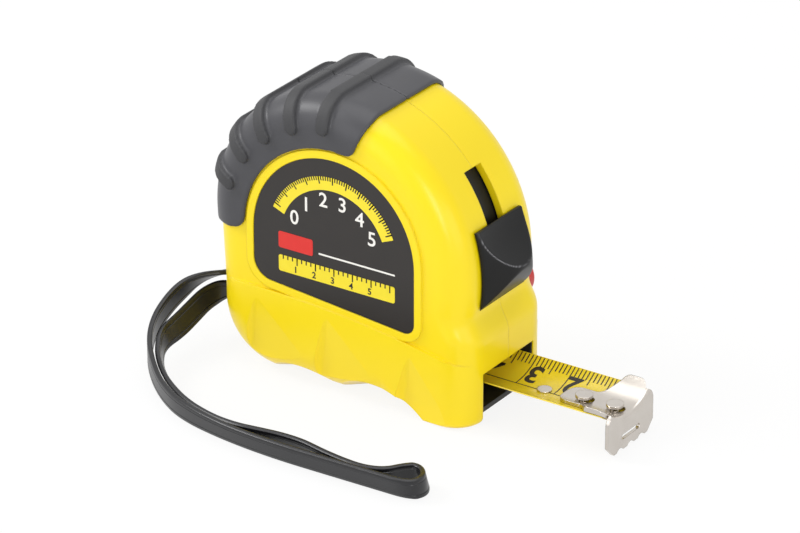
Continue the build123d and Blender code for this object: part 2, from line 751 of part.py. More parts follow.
nodes = {
    "case_left": case_left,
    "case_right": case_right,
    "grip_left": grip_left,
    "grip_right": grip_right,
    "label": label,
    "mouth_guide": guide,
    "spindle": spindle,
    "case_screws": Compound(children=screws),
    "strap_pin": strap_pin,
    "wrist_strap": wrist_strap,
    "belt_clip": belt_clip,
    "belt_clip_screw": clip_screw,
    "reel_drum": reel_drum,
    "spring_cover": spring_cover,
    "power_spring": power_spring,
    "tape_coil": tape_coil,
    "blade": blade,
    "blade_rivet": blade_rivet,
    "hook_rivets": Compound(children=hook_rivets),
    "hook": hook,
    "lock_slider": lock_slider,
    "stop_button": stop_button,
    "stop_pad": stop_pad,
    "stop_spring": stop_spring,
}
for name, solid in nodes.items():
    export_step(solid, f"parts/{name}.step")
    print(name, len(solid.solids()), round(solid.volume, 1))
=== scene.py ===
from math import cos, exp, hypot, log, pi, radians, sin, sqrt
import bpy
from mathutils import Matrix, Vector


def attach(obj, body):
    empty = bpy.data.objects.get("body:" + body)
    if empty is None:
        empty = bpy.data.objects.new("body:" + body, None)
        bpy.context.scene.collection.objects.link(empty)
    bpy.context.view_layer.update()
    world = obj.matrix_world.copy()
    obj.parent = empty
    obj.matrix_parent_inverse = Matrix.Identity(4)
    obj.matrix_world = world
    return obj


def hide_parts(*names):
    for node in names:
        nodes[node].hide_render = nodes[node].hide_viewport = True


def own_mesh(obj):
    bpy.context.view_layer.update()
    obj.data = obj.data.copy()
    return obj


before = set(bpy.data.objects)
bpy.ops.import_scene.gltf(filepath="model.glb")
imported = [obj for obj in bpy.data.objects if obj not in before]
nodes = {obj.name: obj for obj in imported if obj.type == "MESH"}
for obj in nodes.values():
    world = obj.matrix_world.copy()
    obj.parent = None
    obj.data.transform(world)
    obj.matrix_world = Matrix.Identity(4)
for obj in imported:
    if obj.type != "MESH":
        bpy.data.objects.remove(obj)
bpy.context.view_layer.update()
mm = 0.001
mergeGap = 0.002 * mm  # joins the loose triangles of a copied node
bpy.ops.object.select_all(action="DESELECT")
print("frame loaded:", len(nodes), "nodes")


def linearColour(hexCode):
    channels = [int(hexCode[i:i + 2], 16) / 255 for i in (1, 3, 5)]
    steps = [c / 12.92 if c <= 0.04045 else ((c + 0.055) / 1.055) ** 2.4 for c in channels]
    return (*steps, 1.0)


def addNode(material, kind, settings=None, links=None):
    node = material.node_tree.nodes.new(kind)
    for name, value in (settings or {}).items():
        if isinstance(name, str) and hasattr(node, name):
            setattr(node, name, value)
        else:
            node.inputs[name].default_value = value
    for name, source in (links or {}).items():
        material.node_tree.links.new(source, node.inputs[name])
    return node


def startMaterial(name, finish):
    material = bpy.data.materials.new(name)
    material.use_nodes = True
    shader = material.node_tree.nodes["Principled BSDF"]
    for socket, value in finish.items():
        shader.inputs[socket].default_value = value
    return material, shader


def perMm(size):
    return 1 / (size * mm)  # noise scale for features of that size in millimetres


def clamp(value):
    return min(max(0.0, value), 1.0)


def activate(piece):
    bpy.ops.object.select_all(action="DESELECT")
    piece.select_set(True)
    bpy.context.view_layer.objects.active = piece


def openMesh(piece):
    activate(piece)
    bpy.ops.object.mode_set(mode="EDIT")
    bpy.ops.mesh.select_all(action="SELECT")


def closeMesh():
    bpy.ops.object.mode_set(mode="OBJECT")


def tidyMesh(piece, angle):
    openMesh(piece)
    bpy.ops.mesh.normals_make_consistent(inside=False)
    closeMesh()
    bpy.ops.object.shade_smooth_by_angle(angle=radians(angle))


def fixPlace(piece, place, turn=(0, 0, 0), size=(1, 1, 1)):
    # puts the selected piece in its place and leaves its object at the origin
    piece.location = place
    piece.rotation_euler = turn
    piece.scale = size
    bpy.ops.object.transform_apply(location=True, rotation=True, scale=True)


def rename(piece, name):
    piece.name = name
    piece.data.name = name


def join(pieces, name):
    activate(pieces[0])
    for piece in pieces[1:]:
        piece.select_set(True)
    if len(pieces) > 1:
        bpy.ops.object.join()
    joined = bpy.context.object
    rename(joined, name)
    return joined


# Camera at the photograph's place, worked out for a frame of 800 by 533,
# in degrees, mm and pixels
cameraView = {
    "azimuth": 33.745,
    "elevation": 25.593,
    "distance": 1125.37,
    "target": (10.0, 0.0, 30.0),
    "pixelsPerMm": 4.4629,
    "targetPixel": (415.25, 260.48),
    "frame": (800, 533),
    "sensor": 36.0,
    "clipEnd": 20,
}


def makeCamera(view):
    az = radians(view["azimuth"])
    el = radians(view["elevation"])
    away = Vector((sin(az) * cos(el), -cos(az) * cos(el), sin(el)))
    target = Vector(view["target"]) * mm
    width, height = view["frame"]
    focalPixels = view["pixelsPerMm"] * view["distance"]
    bpy.ops.object.camera_add(location=target + away * view["distance"] * mm)
    camera = bpy.context.object
    camera.rotation_euler = (-away).to_track_quat("-Z", "Y").to_euler()
    camera.data.sensor_width = view["sensor"]
    camera.data.lens = focalPixels * view["sensor"] / width
    camera.data.shift_x = (width / 2 - view["targetPixel"][0]) / width
    camera.data.shift_y = (view["targetPixel"][1] - height / 2) / width
    camera.data.clip_end = view["clipEnd"]
    bpy.context.scene.camera = camera


makeCamera(cameraView)
print("camera set")


# Wrist strap: one flat moulded strip, looped on the pin, out and back
strapMake = {
    "width": 5.4,
    "thick": 1.2,
    "corner": 0.35,
    "grooveInset": 0.95,
    "grooveDepth": 0.14,
    "steps": 10,
    "smoothAngle": 40,
    # length of the strip and the point where it leaves the case, in metres
    "length": 0.274,
    "exit": (-0.0306, 0.0, 0.013),
    # centre of the strip, then the way its width points
    "route": [
        ((-26.9, 0.0, 13.0), (0.0, 1.0, 0.0)),
        ((-27.2, 0.0, 15.3), (0.0, 1.0, 0.0)),
        ((-32.0, 0.0, 15.4), (-0.1, 1.0, -0.1)),
        ((-37.2, -1.0, 15.3), (-0.35, 0.87, -0.3)),
        ((-41.4, -4.6, 15.1), (-0.5, 0.75, -0.43)),
        ((-44.3, -8.3, 14.3), (-0.4, 0.6, -0.7)),
        ((-46.0, -12.5, 12.7), (-0.1, 0.15, -0.98)),
        ((-46.3, -17.8, 10.8), (0.0, 0.0, -1.0)),
        ((-45.3, -24.4, 8.6), (0.0, 0.0, -1.0)),
        ((-42.3, -30.5, 6.4), (0.0, 0.0, -1.0)),
        ((-37.5, -35.7, 4.3), (0.0, 0.0, -1.0)),
        ((-31.0, -40.9, 3.0), (0.05, 0.1, -1.0)),
        ((-22.6, -45.6, 2.8), (0.08, 0.15, -0.98)),
        ((-9.5, -48.7, 2.75), (0.05, 0.34, -0.94)),
        ((5.0, -49.8, 2.75), (0.0, 0.34, -0.94)),
        ((20.0, -49.5, 2.75), (0.0, 0.34, -0.94)),
        ((32.0, -49.2, 2.75), (0.0, 0.34, -0.94)),
        ((41.2, -49.0, 2.75), (0.0, 0.34, -0.94)),
        ((42.7, -45.4, 2.75), (0.0, 0.34, -0.94)),
        ((40.8, -42.2, 2.75), (0.0, 0.34, -0.94)),
        ((38.0, -41.0, 2.75), (0.0, 0.34, -0.94)),
        ((36.1, -42.9, 2.75), (0.0, 0.34, -0.94)),
        ((33.6, -46.6, 2.75), (0.0, 0.34, -0.94)),
        ((29.0, -48.2, 2.75), (0.0, 0.34, -0.94)),
        ((23.5, -47.9, 2.75), (0.0, 0.34, -0.94)),
        ((17.5, -47.0, 2.75), (0.0, 0.34, -0.94)),
        ((11.4, -45.6, 2.75), (0.0, 0.34, -0.94)),
        ((5.6, -45.6, 2.75), (0.0, 0.34, -0.94)),
        ((0.2, -46.4, 2.75), (0.0, 0.34, -0.94)),
        ((-6.0, -47.1, 2.7), (0.05, 0.4, -0.92)),
        ((-13.0, -45.6, 2.6), (0.12, 0.57, -0.81)),
        ((-21.5, -42.9, 2.6), (0.25, 0.53, -0.81)),
        ((-29.8, -38.5, 2.8), (0.28, 0.37, -0.89)),
        ((-35.5, -34.2, 3.3), (0.24, 0.28, -0.92)),
        ((-39.5, -30.6, 4.7), (0.1, 0.15, -0.98)),
        ((-41.9, -26.0, 6.7), (0.1, 0.0, -1.0)),
        ((-40.9, -20.8, 8.2), (0.45, -0.2, -0.87)),
        ((-41.2, -14.8, 9.4), (0.45, -0.15, -0.88)),
        ((-41.8, -8.8, 10.3), (0.36, 0.05, -0.93)),
        ((-40.2, -3.2, 11.0), (0.0, 0.55, -0.83)),
        ((-34.0, -0.3, 10.9), (0.05, 0.98, -0.2)),
        ((-27.2, 0.0, 10.7), (0.0, 1.0, 0.0)),
        ((-26.9, 0.0, 13.0), (0.0, 1.0, 0.0)),
    ],
}


def splineLine(name, points, steps):
    curve = bpy.data.curves.new(name, "CURVE")
    curve.dimensions = "3D"
    curve.resolution_u = steps
    spline = curve.splines.new("NURBS")
    spline.points.add(len(points) - 1)
    for place, point in zip(spline.points, points):
        place.co = (*point, 1)
    spline.order_u = 3
    spline.use_endpoint_u = True
    holder = bpy.data.objects.new(name, curve)
    bpy.context.scene.collection.objects.link(holder)
    mesh = bpy.data.meshes.new_from_object(holder)
    line = [v.co.copy() for v in mesh.vertices]
    bpy.data.objects.remove(holder)
    bpy.data.curves.remove(curve)
    bpy.data.meshes.remove(mesh)
    return line


def strapSection(make):
    w = make["width"] / 2
    t = make["thick"] / 2
    c = make["corner"]
    g = make["grooveInset"]
    d = make["grooveDepth"]
    bow = 0.3 * c  # where a round corner's middle lies, about 1 - cos 45
    quarter = [(w, t - c), (w - bow, t - bow), (w - c, t)]
    groove = [(w - g, t), (w - g - d, t - d), (w - g - 2 * d, t)]
    side = quarter + groove
    half = side + [(-x, y) for x, y in reversed(side)]
    return half + [(-x, -y) for x, y in half]


def makeStrap(make):
    centres = [Vector(p) * mm for p, _ in make["route"]]
    edges = [Vector(p) * mm + Vector(d).normalized() * mm for p, d in make["route"]]
    middle = splineLine("strapMiddle", centres, make["steps"])
    side = splineLine("strapSide", edges, make["steps"])
    section = strapSection(make)
    verts = []
    for i, point in enumerate(middle):
        before = middle[max(i - 1, 0)]
        after = middle[min(i + 1, len(middle) - 1)]
        along = (after - before).normalized()
        across = side[i] - point
        across = (across - along * across.dot(along)).normalized()
        out = along.cross(across)
        for x, y in section:
            verts.append(point + across * x * mm + out * y * mm)
    count = len(section)
    faces = []
    for i in range(len(middle) - 1):
        here = i * count
        there = here + count
        for k in range(count):
            n = (k + 1) % count
            faces.append((here + k, there + k, there + n, here + n))
    faces.append(tuple(range(count)))
    last = (len(middle) - 1) * count
    faces.append(tuple(last + k for k in reversed(range(count))))
    mesh = bpy.data.meshes.new("wristStrap")
    mesh.from_pydata(verts, [], faces)
    strap = bpy.data.objects.new("wristStrap", mesh)
    bpy.context.scene.collection.objects.link(strap)
    tidyMesh(strap, make["smoothAngle"])
    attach(strap, "case")
    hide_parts("wrist_strap")
    return strap


wristStrap = makeStrap(strapMake)
print("strap laid:", len(wristStrap.data.polygons), "faces")


# Rubber grip: the moulded skin with its ribs softened as cast rubber is
gripMake = {
    "voxel": 0.32,
    "smoothSteps": 7,
    "smoothShare": 0.5,
    "ribCentre": (-0.7, 36.5),
    "ribFirst": 94.0,
    "ribPitch": 16.6,
    "ribCount": 5,
    "ribInner": 29.3,
    "ribHalf": 1.7,
    "ribFade": 0.6,
}


def ribShare(make, point):
    x = point.x / mm - make["ribCentre"][0]
    z = point.z / mm - make["ribCentre"][1]
    share = 0.0
    for k in range(make["ribCount"]):
        angle = radians(make["ribFirst"] + k * make["ribPitch"])
        out = x * cos(angle) + z * sin(angle)
        off = hypot(z * cos(angle) - x * sin(angle), min(out - make["ribInner"], 0))
        share = max(share, (make["ribHalf"] - off) / make["ribFade"] + 0.5)
    return min(share, 1.0)


def copyNode(node, name):
    activate(nodes[node])
    bpy.ops.object.duplicate()
    piece = bpy.context.object
    piece.parent = None
    for key in list(piece.keys()):
        del piece[key]
    rename(piece, name)
    openMesh(piece)
    bpy.ops.mesh.remove_doubles(threshold=mergeGap)
    closeMesh()
    return piece


def castCopy(node, name, make):
    piece = copyNode(node, name)
    remesh = piece.modifiers.new("cast", "REMESH")
    remesh.mode = "VOXEL"
    remesh.voxel_size = make["voxel"] * mm
    remesh.use_smooth_shade = True
    bpy.ops.object.modifier_apply(modifier="cast")
    smooth = piece.modifiers.new("soften", "SMOOTH")
    smooth.factor = make["smoothShare"]
    smooth.iterations = make["smoothSteps"]
    bpy.ops.object.modifier_apply(modifier="soften")
    bpy.ops.object.shade_smooth()
    rib = piece.data.attributes.new("rib", "FLOAT", "POINT")  # 1 on the ribs, for their matt skin
    rib.data.foreach_set("value", [ribShare(make, v.co) for v in piece.data.vertices])
    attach(piece, "case")
    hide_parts(node)
    print(name, "cast:", len(piece.data.polygons), "faces")
    return piece


gripNear = castCopy("grip_left", "gripNear", gripMake)
gripFar = castCopy("grip_right", "gripFar", gripMake)


# Thumb lock: the crowned pad with its thumb scoop above and its slanted facet below,
# in mm off the case's front curve, with angles in degrees about that curve's centre
capMake = {
    "centre": (-3.5, 33.5), "radius": 36.8, "base": 0.3, "under": 0.45, "cuts": 70,
    "low": -9.4, "top": 19.3, "halfWidth": 8.95, "crest": 6.16, "crown": 5.1, "crownPower": 2.19,
    "scoopAngle": 18.3, "arcPitch": 0.7, "scoopLong": 9.0, "scoopWide": 65.0, "scoopFloor": 0.93,
    "facetAngle": 3.42, "facetSlope": 0.453, "thinnest": 0.45,
    "soft": 0.1, "edgeRound": 0.3, "glintWidth": 0.11, "glintFade": 6.0,
    "cutterSides": 240, "cutterDepth": 80, "smoothAngle": 35,
}


def capHeight(make, angle, y):
    barrel = make["crest"] - make["crown"] * abs(y / make["halfWidth"]) ** make["crownPower"]
    along = (angle - make["scoopAngle"]) * make["arcPitch"]
    scoop = (make["scoopFloor"] + along ** 2 / (2 * make["scoopLong"])
             + y ** 2 / (2 * make["scoopWide"]))
    facet = make["crest"] + make["facetSlope"] * (angle - make["facetAngle"])
    # the lowest of the three, rounded a little where they meet
    height = -make["soft"] * log(sum(exp(-h / make["soft"]) for h in (barrel, scoop, facet)))
    for gap in (make["halfWidth"] - abs(y), (make["top"] - angle) * make["arcPitch"]):
        share = clamp(1 - gap / make["edgeRound"])
        height -= make["edgeRound"] * (1 - sqrt(1 - share ** 2))
    # painted highlight: a light line along the scoop's crisp edge, where it would catch the light,
    # on the near side only
    nearShare = clamp(0.5 - y / make["glintFade"])
    paintedGlint = exp(-((barrel - scoop) / make["glintWidth"]) ** 2) * nearShare
    return max(height, make["thinnest"]), paintedGlint


def lockStem(make):
    # the solid lock below its pad: the stem in the slot and the band behind it
    piece = copyNode("lock_slider", "lockStem")
    x, z = make["centre"]
    bpy.ops.mesh.primitive_cylinder_add(
        vertices=make["cutterSides"], radius=(make["radius"] + make["under"]) * mm,
        depth=make["cutterDepth"] * mm, location=(x * mm, 0, z * mm), rotation=(pi / 2, 0, 0))
    cutter = bpy.context.object
    cut = piece.modifiers.new("cut", "BOOLEAN")
    cut.operation = "INTERSECT"
    cut.object = cutter
    activate(piece)
    bpy.ops.object.modifier_apply(modifier="cut")
    activate(cutter)
    bpy.ops.object.delete()
    return piece


def makeLock(make):
    bpy.ops.object.select_all(action="DESELECT")
    bpy.ops.mesh.primitive_cube_add(size=2)
    pad = bpy.context.object
    openMesh(pad)
    bpy.ops.mesh.subdivide(number_cuts=make["cuts"])
    closeMesh()
    x, z = make["centre"]
    topFace = 0.99  # only the cube's upper side carries the painted highlight
    paintedGlints = []
    for v in pad.data.vertices:
        along, across, up = v.co  # each from -1 to 1 on the cube
        angle = make["low"] + (along + 1) / 2 * (make["top"] - make["low"])
        y = -across * make["halfWidth"]
        height, paintedGlint = capHeight(make, angle, y)
        paintedGlints.append(paintedGlint if up > topFace else 0.0)
        r = make["radius"] + make["base"] + (up + 1) / 2 * (height - make["base"])
        v.co = (x + r * cos(radians(angle)), y, z + r * sin(radians(angle)))
        v.co *= mm
    paintedGlint = pad.data.attributes.new("paintedGlint", "FLOAT", "POINT")  # 1 along the scoop's crisp near edge, where a highlight is painted into the colour
    paintedGlint.data.foreach_set("value", paintedGlints)
    piece = join([pad, lockStem(make)], "lockSlider")
    tidyMesh(piece, make["smoothAngle"])
    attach(piece, "lock")
    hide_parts("lock_slider")
    print("lock made:", len(piece.data.polygons), "faces")
    return piece


lockSlider = makeLock(capMake)


def makeStopSpring():
    # a copy of the return spring, with a mesh of its own
    piece = copyNode("stop_spring", "stopSpring")
    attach(piece, "case")
    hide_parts("stop_spring")
    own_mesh(piece)
    return piece


stopSpring = makeStopSpring()


# Blade print: divisions from the hook's face, laid on the curled strip,
# in mm, with arcs measured across the strip from its middle
bladePrint = {
    "curl": 14.4,
    "lowZ": 7.1,
    "zeroX": 67.2,
    "tickWidth": 0.26,
    "lineWidth": 0.24,
    "farArc": 9.35,
    "tick": 2.5,
    "halfTick": 3.7,
    "centreArc": -0.2,
    "firstMm": 3,
    "lastMm": 58,
    "centimetre": 10,
    "lastCm": 5,
    "lineStart": 4,
    "inkLow": -0.01,
    "inkHigh": 0.045,
    "numberHeight": 5.4,
    "numberArc": 4.4,
    "numberShift": 2.0,
    "numberBold": 0.16,
    "sliceArc": 0.6,
    "sliceReach": 10.0,
    "smoothAngle": 30,
}


def curlOn(piece, make):
    for v in piece.data.vertices:
        angle = v.co.y / (make["curl"] * mm)
        r = make["curl"] * mm - v.co.z
        v.co.y = r * sin(angle)
        v.co.z = (make["lowZ"] + make["curl"]) * mm - r * cos(angle)


def flatBar(x, width, arc0, arc1, make):
    bpy.ops.mesh.primitive_cube_add(size=1, location=(0, 0, 0))
    bar = bpy.context.object
    low = make["inkLow"] * mm
    high = make["inkHigh"] * mm
    fixPlace(bar, (x * mm, (arc0 + arc1) / 2 * mm, (high + low) / 2),
             size=(width * mm, (arc1 - arc0) * mm, high - low))
    return bar


def repeat(piece, step, count):
    array = piece.modifiers.new("repeat", "ARRAY")
    array.use_relative_offset = False
    array.use_constant_offset = True
    array.constant_offset_displace = (step * mm, 0, 0)
    array.count = count
    activate(piece)
    bpy.ops.object.modifier_apply(modifier="repeat")


def cutAcross(piece, make):
    # slices the flat print, so that it can follow the curl
    openMesh(piece)
    arc = -make["sliceReach"]
    while arc < make["sliceReach"]:
        bpy.ops.mesh.select_all(action="SELECT")
        bpy.ops.mesh.bisect(plane_co=(0, arc * mm, 0), plane_no=(0, 1, 0))
        arc += make["sliceArc"]
    closeMesh()


glyphMake = {"capitalShare": 0.7, "steps": 4}  # a capital's height as a share of the font's size


def numeral(text, height, bold, thick):
    bpy.ops.object.text_add(location=(0, 0, 0))
    glyph = bpy.context.object
    glyph.data.body = text
    glyph.data.align_x = "CENTER"
    glyph.data.align_y = "CENTER"
    glyph.data.size = height * mm / glyphMake["capitalShare"]
    glyph.data.offset = bold * mm
    glyph.data.extrude = thick / 2 * mm
    glyph.data.resolution_u = glyphMake["steps"]
    bpy.ops.object.convert(target="MESH")
    return bpy.context.object


def makeBladePrint(make):
    cm = make["centimetre"]
    zero = make["zeroX"]
    startX = zero - make["lastMm"]
    edge = make["farArc"]
    tickEnd = edge - make["tick"]
    centre = make["centreArc"]
    ticks = flatBar(startX, make["tickWidth"], tickEnd, edge, make)
    repeat(ticks, 1, make["lastMm"] - make["firstMm"] + 1)
    lastLine = make["lastCm"] * cm
    halves = flatBar(zero - (lastLine + cm / 2), make["tickWidth"],
                     edge - make["halfTick"], tickEnd, make)
    repeat(halves, cm, make["lastCm"] + 1)
    lines = flatBar(zero - lastLine, make["lineWidth"], centre, tickEnd, make)
    repeat(lines, cm, make["lastCm"])
    width = make["lastMm"] - make["lineStart"]
    spine = flatBar(startX + width / 2, width, centre - make["lineWidth"], centre, make)
    bars = [ticks, halves, lines, spine]
    inkThick = make["inkHigh"] - make["inkLow"]
    inkMiddle = (make["inkHigh"] + make["inkLow"]) / 2
    for k in range(1, make["lastCm"] + 1):
        glyph = numeral(str(k), make["numberHeight"], make["numberBold"], inkThick)
        x = zero - cm * k + make["numberShift"]
        fixPlace(glyph, (x * mm, make["numberArc"] * mm, inkMiddle * mm), turn=(0, 0, pi))
        bars.append(glyph)
    ink = join(bars, "bladePrint")
    cutAcross(ink, make)
    curlOn(ink, make)
    tidyMesh(ink, make["smoothAngle"])
    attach(ink, "blade")
    print("blade print:", len(ink.data.polygons), "faces")
    return ink


bladeInk = makeBladePrint(bladePrint)


# Label print: a plain gauge arc with numerals, a ruler bar and a red flash
labelPrint = {
    "x": -0.7,
    "z": 36.5,
    "faceY": -16.8,
    "sink": 0.02,
    "thick": 0.07,
    "overprint": 0.03,
    "cornerRound": 0.5,
    "cornerSteps": 4,
    "smoothAngle": 30,
    "arcInner": 14.2,
    "arcOuter": 17.4,
    "arcStart": 22,
    "arcEnd": 158,
    "arcSteps": 68,
    "tickStart": 26,
    "tickStep": 2.1333,
    "tickCount": 61,
    "tickWidth": 0.3,
    "shortTick": 0.9,
    "longTick": 1.7,
    "longEvery": 6,
    "numeralEvery": 12,
    "numeralHeight": 3.4,
    "numeralBold": 0.05,
    "numeralRadius": 11.6,
    # left, right, low and high edges
    "ruler": (-15.5, 15.8, 27.6, 31.6),
    "flash": (-15.5, -6.2, 33.4, 37.4),
    "stripe": (-4.6, 15.8, 34.3, 34.7),
    "rulerStep": 1.25,
    "rulerCount": 24,
    "rulerLongEvery": 4,
    "rulerNumeral": 1.5,
    "rulerNumeralLeft": 0.4,
    "rulerNumeralUp": 1.15,
}


def inkLayer(make):
    # how thick the print is, and where its middle lies
    thick = make["thick"] + make["sink"]
    return thick, make["faceY"] + make["sink"] - thick / 2


def inkBar(make, left, right, low, high):
    thick, y = inkLayer(make)
    bpy.ops.mesh.primitive_cube_add(size=1, location=(0, 0, 0))
    bar = bpy.context.object
    fixPlace(bar, ((left + right) / 2 * mm, y * mm, (low + high) / 2 * mm),
             size=((right - left) * mm, thick * mm, (high - low) * mm))
    return bar


def roundCorners(make, bar):
    activate(bar)
    bpy.ops.object.mode_set(mode="EDIT")
    bpy.ops.mesh.select_mode(type="EDGE")
    bpy.ops.mesh.select_all(action="DESELECT")
    closeMesh()
    for edge in bar.data.edges:
        start, end = (bar.data.vertices[k].co for k in edge.vertices)
        edge.select = abs(start.y - end.y) > make["sink"] * mm  # the corners through the print
    bpy.ops.object.mode_set(mode="EDIT")
    bpy.ops.mesh.bevel(offset=make["cornerRound"] * mm, segments=make["cornerSteps"],
                       affect="EDGES")
    closeMesh()
    return bar


def swing(make, piece, angle):
    activate(piece)
    fixPlace(piece, (make["x"] * mm, 0, make["z"] * mm), turn=(0, -radians(angle), 0))


def spinRound(make, piece, sweep, steps, copies):
    openMesh(piece)
    bpy.ops.mesh.spin(steps=steps, angle=radians(sweep), dupli=copies,
                      center=(make["x"] * mm, 0, make["z"] * mm), axis=(0, 1, 0))
    closeMesh()
    return piece


def gaugeBand(make):
    thick, y = inkLayer(make)
    bpy.ops.mesh.primitive_plane_add(size=1, location=(0, 0, 0))
    band = bpy.context.object
    fixPlace(band, ((make["arcOuter"] + make["arcInner"]) / 2 * mm, y * mm, 0),
             size=((make["arcOuter"] - make["arcInner"]) * mm, thick * mm, 1))
    swing(make, band, make["arcStart"])
    return spinRound(make, band, make["arcEnd"] - make["arcStart"], make["arcSteps"], False)


def gaugeTicks(make, length, every):
    half = make["tickWidth"] / 2
    tick = inkBar(make, make["arcOuter"] - length, make["arcOuter"], -half, half)
    swing(make, tick, make["tickStart"])
    count = (make["tickCount"] - 1) // every
    return spinRound(make, tick, make["tickStep"] * every * count, count, True)


def rulerTicks(make, length, every):
    left, _, _, high = make["ruler"]
    half = make["tickWidth"] / 2
    step = make["rulerStep"] * every
    x = left + step
    tick = inkBar(make, x - half, x + half, high - length, high)
    repeat(tick, step, make["rulerCount"] // every)
    return tick


def standNumeral(text, x, z, height, make):
    thick, y = inkLayer(make)
    glyph = numeral(text, height, make["numeralBold"], thick)
    fixPlace(glyph, (x * mm, y * mm, z * mm), turn=(pi / 2, 0, 0))
    return glyph


def dressLabel(make, pieces, name):
    piece = join(pieces, name)
    tidyMesh(piece, make["smoothAngle"])
    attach(piece, "case")
    return piece


def makeLabelPrint(make):
    raised = dict(make, thick=make["thick"] + make["overprint"])
    left, _, low, _ = make["ruler"]
    yellow = [gaugeBand(make), roundCorners(make, inkBar(make, *make["ruler"]))]
    black = [gaugeTicks(raised, make["shortTick"], every=1),
             gaugeTicks(raised, make["longTick"], every=make["longEvery"]),
             rulerTicks(raised, make["shortTick"], every=1),
             rulerTicks(raised, make["longTick"], every=make["rulerLongEvery"])]
    for k in range(1, make["rulerCount"] // make["rulerLongEvery"]):
        x = left + make["rulerStep"] * make["rulerLongEvery"] * k - make["rulerNumeralLeft"]
        z = low + make["rulerNumeralUp"]
        black.append(standNumeral(str(k), x, z, make["rulerNumeral"], raised))
    white = [inkBar(make, *make["stripe"])]
    last = (make["tickCount"] - 1) // make["numeralEvery"]
    for k in range(last + 1):
        angle = radians(make["tickStart"] + make["tickStep"] * make["numeralEvery"] * (last - k))
        x = make["x"] + make["numeralRadius"] * cos(angle)
        z = make["z"] + make["numeralRadius"] * sin(angle)
        white.append(standNumeral(str(k), x, z, make["numeralHeight"], make))
    red = [roundCorners(make, inkBar(make, *make["flash"]))]
    prints = {"labelYellow": yellow, "labelBlack": black, "labelWhite": white, "labelRed": red}
    parts = {name: dressLabel(make, pieces, name) for name, pieces in prints.items()}
    print("label print:", sorted(parts))
    return parts


labelInks = makeLabelPrint(labelPrint)


# Materials, each on Object coordinates at its real scale. Grains that are too fine
# to show in the render are drawn as coarse as they need to be.
bevelSamples = 6


def driftTone(material, place, size, colour, shade, detail):
    # two close tones that drift into each other, as pigment does in a moulding
    drift = addNode(material, "ShaderNodeTexNoise", {"Scale": perMm(size), "Detail": detail},
                    {"Vector": place.outputs["Object"]})
    blend = addNode(material, "ShaderNodeMix",
                    {"data_type": "RGBA", 6: linearColour(colour), 7: linearColour(shade)},
                    {0: drift.outputs["Fac"]})
    return blend.outputs[2]


def linkSurface(material, shader, colour, bump):
    links = material.node_tree.links
    links.new(colour, shader.inputs["Base Color"])
    links.new(bump.outputs["Normal"], shader.inputs["Normal"])


absFinish = {
    "surface": {"Roughness": 0.3, "IOR": 1.53, "Specular IOR Level": 0.38},
    "colour": "#F8DE0C", "shade": "#F4D70A", "drift": 22.0,
    "spark": 0.35, "sparkDepth": 0.05, "sparkHeight": 0.02, "edge": 0.45,
}


def yellowAbs(make):
    # injection-moulded ABS, satin from a spark-eroded tool, with soft broad highlights
    material, shader = startMaterial("yellowMouldedAbs", make["surface"])
    place = addNode(material, "ShaderNodeTexCoord")
    tone = driftTone(material, place, make["drift"], make["colour"], make["shade"], detail=2.0)
    spark = addNode(material, "ShaderNodeTexNoise", {"Scale": perMm(make["spark"]), "Detail": 3.0},
                    {"Vector": place.outputs["Object"]})
    edge = addNode(material, "ShaderNodeBevel",
                   {"samples": bevelSamples, "Radius": make["edge"] * mm})
    bump = addNode(material, "ShaderNodeBump",
                   {"Strength": make["sparkDepth"], "Distance": make["sparkHeight"] * mm},
                   {"Height": spark.outputs["Fac"], "Normal": edge.outputs["Normal"]})
    linkSurface(material, shader, tone, bump)
    return material


rubberFinish = {
    "skin": "#424246", "skinShade": "#3A3A3E", "ribs": "#333335", "drift": 6.0,
    "skinRough": 0.4, "ribRough": 0.6, "skinDepth": 0.08, "ribDepth": 0.3,
    "grain": 0.25, "grainHeight": 0.05,
}


def gripRubber(make):
    # moulded TPE: a smooth semi-gloss skin, and ribs that the mould left matt and darker
    material, shader = startMaterial("greyTpeRubber", {"IOR": 1.5})
    place = addNode(material, "ShaderNodeTexCoord")
    rib = addNode(material, "ShaderNodeAttribute", {"attribute_name": "rib"})
    skin = driftTone(material, place, make["drift"], make["skin"], make["skinShade"], detail=3.0)
    tone = addNode(material, "ShaderNodeMix", {"data_type": "RGBA", 7: linearColour(make["ribs"])},
                   {0: rib.outputs["Fac"], 6: skin})
    rough = addNode(material, "ShaderNodeMapRange",
                    {"To Min": make["skinRough"], "To Max": make["ribRough"]},
                    {"Value": rib.outputs["Fac"]})
    fine = addNode(material, "ShaderNodeTexNoise", {"Scale": perMm(make["grain"]), "Detail": 4.0},
                   {"Vector": place.outputs["Object"]})
    depth = addNode(material, "ShaderNodeMapRange",
                    {"To Min": make["skinDepth"], "To Max": make["ribDepth"]},
                    {"Value": rib.outputs["Fac"]})
    bump = addNode(material, "ShaderNodeBump", {"Distance": make["grainHeight"] * mm},
                   {"Height": fine.outputs["Fac"], "Strength": depth.outputs["Result"]})
    linkSurface(material, shader, tone.outputs[2], bump)
    material.node_tree.links.new(rough.outputs["Result"], shader.inputs["Roughness"])
    return material


grainMake = {"driftTimes": 9, "height": 0.05}


